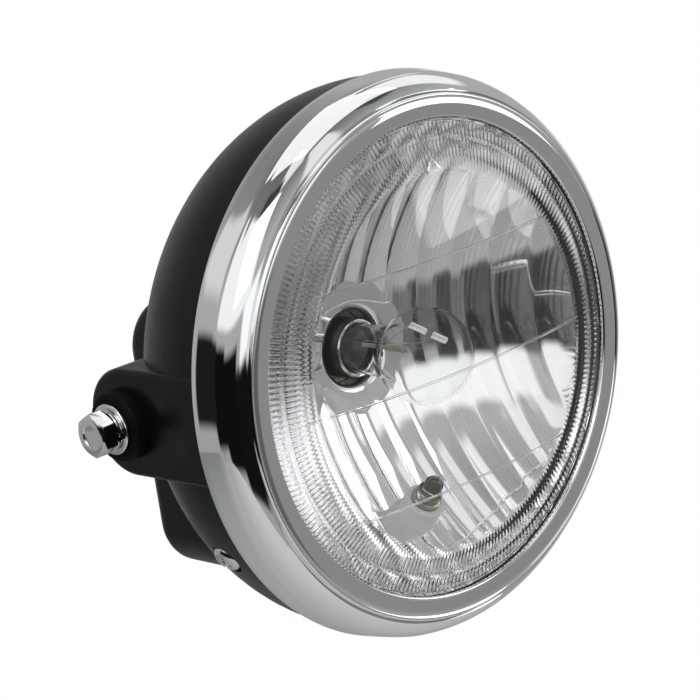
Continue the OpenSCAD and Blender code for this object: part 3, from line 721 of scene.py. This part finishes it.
def buildCoils(size):
    coils, count = [], size["turns"] * size["perTurn"]
    around = 2 * math.pi / size["perTurn"]
    for part in size["coils"]:
        start, end = [Vector(inPart((0, *part[key]))) for key in ("from", "to")]
        run = end - start
        side = run.orthogonal().normalized() * size["coilRadius"]
        other = run.normalized().cross(side)
        places = [start + run * (i / count) + side * math.cos(i * around)
                  + other * math.sin(i * around) for i in range(count + 1)]
        coils.append(wire("coil", [tuple(place) for place in places], size["wire"]))
    return joinPieces("bulbCoils", coils)


def buildLeads(size):
    leads = [wire("lead", [inPart(place) for place in lead], size["wireRadius"])
             for lead in size["leads"]]
    return joinPieces("bulbLeads", leads)


capRim, capBody = buildCap(footSize)
dress(capRim, "brightSteel", "cap_metal", "bulb_cap")
dress(capBody, "smokedMetal", "cap_metal")
dress(buildMount(footSize), "smokedBase", "ceramic", "bulb_stem")
dress(buildRod(bulbSize), "creamCeramic", "ceramic")
dress(buildCoils(bulbSize), "coilWire", "filament_wire", "filament")
dress(buildLeads(footSize), "brightSteel", "filament_wire")

# parking light in the lower mirror: white holder, metal cup and small bulb
pilotSize = {"outer": 6.7, "inner": 4.7, "bulb": 3.0, "out": 6.6, "top": 17.0, "back": -17.0,
             "flange": 1.8, "flangeFrom": -12.5, "flangeTo": -10.5}


def buildPilot(size):
    base, axis = pilotFrame(reflectorSize)
    outer, inner, bulb, top = size["outer"], size["inner"], size["bulb"], size["top"]
    out, back, flange = size["out"], size["back"], outer + size["flange"]
    holder = [(bulb + 0.1, back), (outer - 1, back), (outer, back + 1), (outer, size["flangeFrom"]),
              (flange, size["flangeFrom"]), (flange, size["flangeTo"]), (outer, size["flangeTo"]),
              (outer, out - 1.0)]
    holder += arc((outer - 0.7, out - 0.7), 0.7, 0, 90, 4)
    holder += arc((inner + 0.3, out - 0.3), 0.3, 90, 180, 3)
    holder += [(inner, out - 2.4), (bulb + 0.1, out - 2.4)]
    cup = [(inner - 0.1, -2.3), (inner - 0.1, 0.8), (inner + 0.25, 1.3), (inner + 0.1, 1.7),
           (inner - 0.6, 2.0), (inner - 0.5, 4.2), (inner - 0.9, 4.7), (inner - 1.1, 4.5),
           (inner - 1.2, 1.8), (bulb + 0.15, 1.6)]
    cup = [(bulb + 0.15, out - 2.3)] + [(radius, out + along) for radius, along in cup]
    dome = [(0, -8), (bulb, -8), (bulb, top - bulb - 1)]
    dome += arc((0, top - bulb), bulb + 0.1, 12, 90, 10)
    return (turn("pilotHolder", holder, 96, base, axis), turn("pilotCup", cup, 96, base, axis),
            turn("pilotBulb", dome, 64, base, axis))


pilotHolder, pilotCup, pilotBulb = buildPilot(pilotSize)
dress(pilotHolder, "whitePlastic", "white_plastic", "pilot_holder")
dress(pilotCup, "dullNickel", "pilot_metal", "pilot_cup")
dress(pilotBulb, "bulbGlass", "bulb_glass", "pilot_bulb", sharp=50)

# black bucket: round bowl, box for the wiring behind it and an ear on each side
bucketSize = {
    "radius": 88.4, "depth": 56.0, "round": 50.0, "wall": 2.5, "front": 0.3, "spigot": 5.0,
    "spigotRadius": 86.9, "steps": 256,
    "box": {"width": 113.0, "height": 90.0, "drop": 19.0, "start": 34.0, "back": 71.0,
            "corner": 16.0, "edge": 6.0},
    "ear": {"half": 17.0, "outer": 88.0, "inner": 55.0, "wall": 4.0},
    "earEdges": {"edge": 2.0, "front": 0.6}, "earHollow": {"edge": 1.0, "front": 6.0},
    "screws": {"angle": 31.0, "back": 13.5, "seat": 86.76, "head": 5.6, "hole": 2.7},
    "bush": {"hole": 6.1, "recess": 11.1, "step": 86.0},
    "outlet": {"drop": 40.0, "radius": 10.0}, "drain": {"radius": 2.0, "back": 22.0},
    "clear": 100.0,                         # where the drills end, outside of everything
}


def bowlSolid(name, size, inset):
    centre = (size["radius"] - size["round"], size["depth"] - size["round"])
    section = [(0, size["depth"] - inset)] + arc(centre, size["round"] - inset, 90, 0, 24)
    spigot, front = size["spigotRadius"] - inset, size["front"]
    if inset:
        section += [(size["radius"] - inset, front + inset + 1), (spigot, front + 1)]
    else:
        section += [(size["radius"], front), (spigot, front)]
    end = -size["spigot"] - (1 if inset else 0)
    return turn(name, section + [(spigot, end), (0, end)], size["steps"])


def boxSolid(size, inset):
    box = size["box"]
    start, back = box["start"], box["back"] - inset
    piece = block((0, rimRear + (start + back) / 2, -box["drop"]),
                  (box["width"] - 2 * inset, back - start, box["height"] - 2 * inset))
    bpy.ops.object.mode_set(mode="EDIT")
    pickEdges(lambda edge: abs((edge.verts[0].co - edge.verts[1].co).y) > mm)
    bpy.ops.mesh.bevel(offset=(box["corner"] - inset) * mm, segments=16)
    rear = (rimRear + back) * mm
    pickEdges(lambda edge: all(abs(vert.co.y - rear) < within for vert in edge.verts))
    bpy.ops.mesh.bevel(offset=(box["edge"] - inset) * mm, segments=8)
    bpy.ops.object.mode_set(mode="OBJECT")
    return piece


def earSolid(ear, inset, edge, front):      # outline drawn in the plane of the ear's face
    half, outer = ear["half"] - inset, ear["outer"] - inset
    outline = [(rimRear + front, half), *arc((0, 0), half, 90, -90, 48), (rimRear + front, -half)]
    piece = drawLine([Vector((outer, y, z)) * mm for y, z in outline])
    bpy.ops.mesh.edge_face_add()
    bpy.ops.mesh.extrude_region_move(
        TRANSFORM_OT_translate={"value": ((ear["inner"] - outer) * mm, 0, 0)})
    faceOut()
    frontY = (rimRear + front) * mm
    pickEdges(lambda edge: all(abs(vert.co.x - outer * mm) < within for vert in edge.verts)
              and not all(abs(vert.co.y - frontY) < within for vert in edge.verts))
    bpy.ops.mesh.bevel(offset=edge * mm, segments=6)
    bpy.ops.object.mode_set(mode="OBJECT")
    return piece


def buildBucket(size):
    screws, ear, bush = size["screws"], size["ear"], size["bush"]
    body = bowlSolid("bucketShell", size, 0)
    hollow = bowlSolid("hollow", size, size["wall"])
    cut(body, boxSolid(size, 0), "UNION")
    cut(hollow, boxSolid(size, size["wall"]), "UNION")
    for whole, inset, edges in ((body, 0, size["earEdges"]),
                                (hollow, ear["wall"], size["earHollow"])):
        right = earSolid(ear, inset, **edges)
        left = copyTurned(right, "left", 0, "X")
        work(left)                          # mirrored, with its faces turned out again
        bpy.ops.mesh.select_all(action="SELECT")
        bpy.ops.transform.mirror(constraint_axis=(True, False, False),
                                 center_override=(0, 0, 0))
        faceOut()
        bpy.ops.object.mode_set(mode="OBJECT")
        cut(whole, right, "UNION")
        cut(whole, left, "UNION")
    cut(body, hollow)
    for angle in (screws["angle"], 180 - screws["angle"]):     # recess of each rim screw
        out = (math.cos(math.radians(angle)), 0, -math.sin(math.radians(angle)))
        drill(body, [(screws["hole"], 70, screws["seat"]),
                     (screws["head"], screws["seat"], size["clear"])], 48,
              base=(0, rimRear + screws["back"], 0), axis=out, side=(0, 1, 0))
    for way in (-1, 1):                     # holes for the bushes
        drill(body, [(bush["hole"], 60, bush["step"]),
                     (bush["recess"], bush["step"], size["clear"])], 64,
              base=(0, 0, 0), axis=(way, 0, 0), side=(0, 1, 0))
    outlet, drain = size["outlet"], size["drain"]
    drill(body, [(outlet["radius"], 60, 80)], 64, base=(0, rimRear, -outlet["drop"]))
    drill(body, [(drain["radius"], 75, 95)], 32, base=(0, rimRear + drain["back"], 0),
          axis=(0, 0, -1))
    return body


dress(buildBucket(bucketSize), "blackPlastic", "black_housing", "bucket", sharp=35)

# rim screws: domed head with a cross recess
screwSize = {"radius": 4.8, "height": 2.6, "shank": 2.5, "from": 76.0,
             "cross": (5.4, 1.1, 1.7), "turn": 20.0}


def buildScrew(size, place):
    radius, seat, height = size["radius"], place["seat"], size["height"]
    section = [(0, size["from"]), (size["shank"], size["from"]), (size["shank"], seat),
               (radius, seat), (radius, seat + 0.6)]
    section += curved((radius - 0.05, seat + 0.75), (radius * 0.35, seat + height - 0.05), 0.5, 8)
    section += [(0, seat + height)]
    screw = turn("screw", section, 64, **outX)
    reach, width, depth = size["cross"]
    for y, z in ((reach, width), (width, reach)):
        cut(screw, block((seat + height, 0, 0), (2 * depth, y, z)))
    softEdges(screw, 0.12, 35)
    rollX(screw, size["turn"])
    bpy.ops.transform.translate(value=(0, (rimRear + place["back"]) * mm, 0))
    bpy.ops.object.mode_set(mode="OBJECT")
    pieces = [copyTurned(screw, "screw", angle, "Y")
              for angle in (place["angle"], 180 - place["angle"])]
    bpy.data.objects.remove(screw)
    return joinPieces("rimScrews", pieces)


dress(buildScrew(screwSize, bucketSize["screws"]), "brightSteel", "screw_steel", "rim_screws",
      sharp=35)

# ear fittings, modelled on the right side and copied to the left by a half turn about Z
earSize = {
    "face": 88.0, "wall": 4.0, "step": 2.0, "bushRadius": 11.0, "bushOut": 5.0, "spigot": 6.0,
    "hole": 4.3, "washerRadius": 8.0, "washerThick": 1.6, "springRadius": 6.7,
    "springThick": 2.0, "springGap": 20.0, "springSteps": 68, "springPart": 0.3,
    "flats": 12.2, "head": 5.3, "tilt": 30.0, "dish": 3.7, "boltIn": 11.0,
}


def bothSides(name, piece):
    return joinPieces(name, [piece, copyTurned(piece, "other", 180, "Z")])


def buildBush(size):
    face, out = size["face"], size["face"] + size["bushOut"]
    radius = size["bushRadius"]
    section = [(size["hole"], face - size["wall"]), (size["spigot"], face - size["wall"]),
               (size["spigot"], face - size["step"]), (radius, face - size["step"])]
    section += arc((radius - 1.2, out - 1.2), 1.2, 0, 90, 5)
    section += [(size["washerRadius"] + 1.0, out), (size["washerRadius"] + 0.6, out - 0.25),
                (size["washerRadius"] + 0.2, out), (size["hole"], out)]
    return bothSides("earBushes", turn("bush", section, 96, **outX))


def buildWasher(size):
    start = size["face"] + size["bushOut"]
    end, radius, hole = start + size["washerThick"], size["washerRadius"], size["hole"] - 0.1
    section = [(hole, start), (radius - 0.3, start), (radius, start + 0.35)]
    section += arc((radius - 0.6, end - 0.6), 0.6, 0, 90, 5)
    section += [(hole + 0.2, end), (hole, end - 0.2)]
    return bothSides("flatWashers", turn("washer", section, 96, **outX))


def buildSpringWasher(size):                # its ends part at the cut and step past each other
    part, steps, span = size["springPart"], size["springSteps"], 360 - size["springGap"]
    start = size["face"] + size["bushOut"] + size["washerThick"] + part
    end = start + size["springThick"] - 2 * part
    radius, hole = size["springRadius"], size["hole"] - 0.15
    section = [(hole, start), (radius - 0.25, start), (radius, start + 0.25),
               (radius, end - 0.25), (radius - 0.25, end), (hole, end)]
    ring = turn("spring", section, steps, angle=span, **outX)
    bpy.ops.object.mode_set(mode="EDIT")
    for i in range(steps + 1):
        angle = math.radians(span) * i / steps

        def here(vert):
            off = math.atan2(vert.co.z, vert.co.y) - angle
            return abs((off + math.pi) % (2 * math.pi) - math.pi) < 0.01

        pickVerts(here)
        bpy.ops.transform.translate(value=(part * (2 * i / steps - 1) * mm, 0, 0))
    rollX(ring, size["springGap"])
    bpy.ops.object.mode_set(mode="OBJECT")
    return bothSides("springWashers", ring)


def buildBolt(size):
    seat = size["face"] + size["bushOut"] + size["washerThick"] + size["springThick"]
    top, half = seat + size["head"], size["flats"] / 2
    corner = half / math.cos(math.radians(30))
    deselectAll()
    bpy.ops.mesh.primitive_cylinder_add(
        vertices=6, radius=corner * mm, depth=(size["head"] + 1) * mm,
        location=((seat + size["head"] / 2 + 0.5) * mm, 0, 0),
        rotation=(0, math.radians(90), 0))
    head, dish = bpy.context.object, size["dish"]
    applyPlace(head)
    rollX(head, size["tilt"])
    shape = [(0, seat - 1), (half - 0.2, seat - 1), (half - 0.2, seat), (corner + 1, seat + 0.4),
             (corner + 1, top - 1.3), (corner, top - 0.95), (half - 0.35, top - 0.1),
             (half - 0.6, top), (dish, top), (dish - 0.4, top - 0.4), (dish - 0.8, top - 0.5),
             (0, top - 0.5)]
    cut(head, turn("shape", shape, 96, **outX), "INTERSECT")
    softEdges(head, 0.16, 25)
    shank = size["hole"] - 0.35
    tip = size["face"] - size["wall"] - size["boltIn"]
    rod = turn("shank", [(0, tip), (shank - 0.8, tip), (shank, tip + 1), (shank, seat + 0.5),
                         (0, seat + 0.5)], 48, **outX)
    return bothSides("earBolts", joinPieces("bolt", [head, rod]))


dress(buildBush(earSize), "blackRubber", "bush_rubber", "ear_bushes")
dress(buildWasher(earSize), "brightSteel", "washer_steel", "flat_washers")
dress(buildSpringWasher(earSize), "brightSteel", "washer_steel", "spring_washers")
dress(buildBolt(earSize), "brightSteel", "bolt_steel", "ear_bolts", sharp=25)

# studio
studio = {
    "sky": [(0.0, 0.30), (0.07, 0.38), (0.25, 0.36), (0.50, 0.42), (0.75, 0.45), (0.94, 0.20),
            (1.0, 0.15)],
    "boxes": [                              # azimuth from +Y to +X and elevation, in degrees
        {"across": (-176, -130), "up": (-34, 4), "soft": 5, "level": 0.05},
        {"across": (-172, -128), "up": (-33, 2), "soft": 6, "level": 0.006},
        {"across": (-134, -88), "up": (-27, 12), "soft": 5, "level": 0.005},
        {"across": (-94, -70), "up": (-19, 15), "soft": 5, "level": 0.005},
        {"across": (-76, -52), "up": (-12, 16), "soft": 5, "level": 0.012},
        {"across": (150, 192), "up": (-32, -3), "soft": 6, "level": 0.12},
        {"across": (150, 216), "up": (3, 22), "soft": 5, "level": 1.1},
        {"across": (104, 152), "up": (-32, 4), "soft": 10, "level": 0.27},
        {"across": (-154, -72), "up": (21, 60), "soft": 4, "level": 1.0},
        {"across": (-182, -140), "up": (62, 82), "soft": 5, "level": 0.9},
        {"across": (-150, -100), "up": (61, 70), "soft": 4, "level": 0.05},
        {"across": (58, 98), "up": (27, 54), "soft": 5, "level": 1.0},
        {"across": (40, 76), "up": (-31, 2), "soft": 8, "level": 0.72},
        {"across": (98, 126), "up": (48, 60), "soft": 4, "level": 0.07},
        {"across": (152, 172), "up": (32, 62), "soft": 5, "level": 0.9},
        {"across": (-60, -34), "up": (28, 56), "soft": 7, "level": 0.72},
        {"across": (-30, 60), "up": (-62, -36), "soft": 9, "level": 0.16},
    ],
    "cool": 1.01,                           # a trace of blue in every grey
    "floor": {"height": -0.42, "radius": 0.75, "centre": (-0.35, 0.3), "roughness": 0.8,
              # painted shade: the floor's colour darkens from front to back, so that the chrome
              # mirrors a darker floor behind the lamp
              "front": (0.8, 0.8, 0.8), "back": (0.36, 0.37, 0.37), "fade": (1.2, 0.7)},
    "aim": (0, -0.02, 0),
    "lights": [
        {"name": "keyLight", "at": (-0.9, -0.7, 1.1), "size": 0.9, "power": 5.0},
        {"name": "topLight", "at": (0.3, 0.1, 1.4), "size": 1.2, "power": 4.0},
        {"name": "sideLight", "at": (1.2, -0.9, 0.4), "size": 0.8, "power": 3.0},
    ],
}


def addLights(look):
    for lamp in look["lights"]:
        data = bpy.data.lights.new(lamp["name"], "AREA")
        data.shape = "SQUARE"
        data.size = lamp["size"]
        data.energy = lamp["power"]
        light = bpy.data.objects.new(lamp["name"], data)
        bpy.context.scene.collection.objects.link(light)
        light.location = lamp["at"]
        aim = Vector(look["aim"]) - Vector(lamp["at"])
        light.rotation_euler = aim.to_track_quat("-Z", "Y").to_euler()


def addMath(tree, operation, *values):
    made = addNode(tree, "ShaderNodeMath", operation=operation)
    for i, value in enumerate(values):
        if isinstance(value, (int, float)):
            made.inputs[i].default_value = value
        else:
            tree.links.new(value, made.inputs[i])
    return made.outputs[0]


def softEdge(tree, value, low, high, soft):     # 1 between low and high, fading over soft
    fades = []
    for start, end in ((low - soft / 2, low + soft / 2), (high + soft / 2, high - soft / 2)):
        fade = addNode(tree, "ShaderNodeMapRange", interpolation_type="SMOOTHSTEP")
        fade.inputs["From Min"].default_value = start
        fade.inputs["From Max"].default_value = end
        tree.links.new(value, fade.inputs["Value"])
        fades.append(fade.outputs["Result"])
    return addMath(tree, "MULTIPLY", *fades)


def addFloor(look):
    deselectAll()
    bpy.ops.mesh.primitive_circle_add(vertices=96, radius=look["radius"], fill_type="NGON",
                                      location=(*look["centre"], look["height"]))
    floor = bpy.context.object
    floor.name = "floor"
    material = bpy.data.materials.new("paleFloor")
    material.use_nodes = True
    tree = material.node_tree
    shader = tree.nodes["Principled BSDF"]
    shader.inputs["Roughness"].default_value = look["roughness"]
    place = addNode(tree, "ShaderNodeTexCoord")
    split = addNode(tree, "ShaderNodeSeparateXYZ")
    shade = addNode(tree, "ShaderNodeValToRGB")
    link(tree, place, "Object", split, "Vector")
    # painted shade: the base colour runs from light at the front to grey at the back along the
    # floor's Y
    along = addMath(tree, "MULTIPLY_ADD", split.outputs["Y"], *look["fade"])
    tree.links.new(along, shade.inputs["Fac"])
    shade.color_ramp.elements[0].color = (*look["front"], 1)
    shade.color_ramp.elements[1].color = (*look["back"], 1)
    link(tree, shade, "Color", shader, "Base Color")
    path = addNode(tree, "ShaderNodeLightPath")
    white = addNode(tree, "ShaderNodeEmission", Strength=1.0)
    mix = addNode(tree, "ShaderNodeMixShader")
    link(tree, path, "Is Camera Ray", mix, "Fac")
    tree.links.new(shader.outputs[0], mix.inputs[1])
    tree.links.new(white.outputs[0], mix.inputs[2])
    tree.links.new(mix.outputs[0], tree.nodes["Material Output"].inputs["Surface"])
    floor.data.materials.append(material)


def addWorld(look):
    world = bpy.data.worlds.new("studio")
    bpy.context.scene.world = world
    world.use_nodes = True
    tree = world.node_tree
    back = tree.nodes["Background"]
    path = addNode(tree, "ShaderNodeLightPath")
    place = addNode(tree, "ShaderNodeTexCoord")
    split = addNode(tree, "ShaderNodeSeparateXYZ")
    ramp = addNode(tree, "ShaderNodeValToRGB")
    link(tree, place, "Generated", split, "Vector")
    x, y, z = split.outputs
    cool = look["cool"]
    height = addMath(tree, "MULTIPLY_ADD", z, 0.5, 0.5)     # from -1..1 to 0..1
    tree.links.new(height, ramp.inputs["Fac"])
    steps = ramp.color_ramp.elements
    for spot, level in look["sky"][1:-1]:
        steps.new(spot)
    for step, (spot, level) in zip(steps, look["sky"]):
        step.position = spot
        step.color = (level, level, level * cool, 1)
    colour = ramp.outputs["Color"]
    across = addMath(tree, "DEGREES", addMath(tree, "ARCTAN2", x, y))
    up = addMath(tree, "DEGREES", addMath(tree, "ARCSINE", z))
    for box in look["boxes"]:
        first, last = box["across"]
        turned = addMath(tree, "ADD", across, -(first + last) / 2)     # wraps past 180 degrees
        wrapped = addMath(tree, "WRAP", turned, 180.0, -180.0)
        half = (last - first) / 2
        inside = addMath(tree, "MULTIPLY", softEdge(tree, wrapped, -half, half, box["soft"]),
                         softEdge(tree, up, *box["up"], box["soft"]))
        patch = addNode(tree, "ShaderNodeMix", data_type="RGBA")
        tree.links.new(inside, patch.inputs["Factor"])
        tree.links.new(colour, patch.inputs[6])
        patch.inputs[7].default_value = (box["level"], box["level"], box["level"] * cool, 1)
        colour = patch.outputs[2]
    mix = addNode(tree, "ShaderNodeMix", data_type="RGBA")
    mix.inputs[7].default_value = (1, 1, 1, 1)
    link(tree, path, "Is Camera Ray", mix, "Factor")
    tree.links.new(colour, mix.inputs[6])
    tree.links.new(mix.outputs[2], back.inputs["Color"])


addLights(studio)
addFloor(studio["floor"])
addWorld(studio)
bpy.context.scene.view_settings.view_transform = "Standard"
print("studio ready")
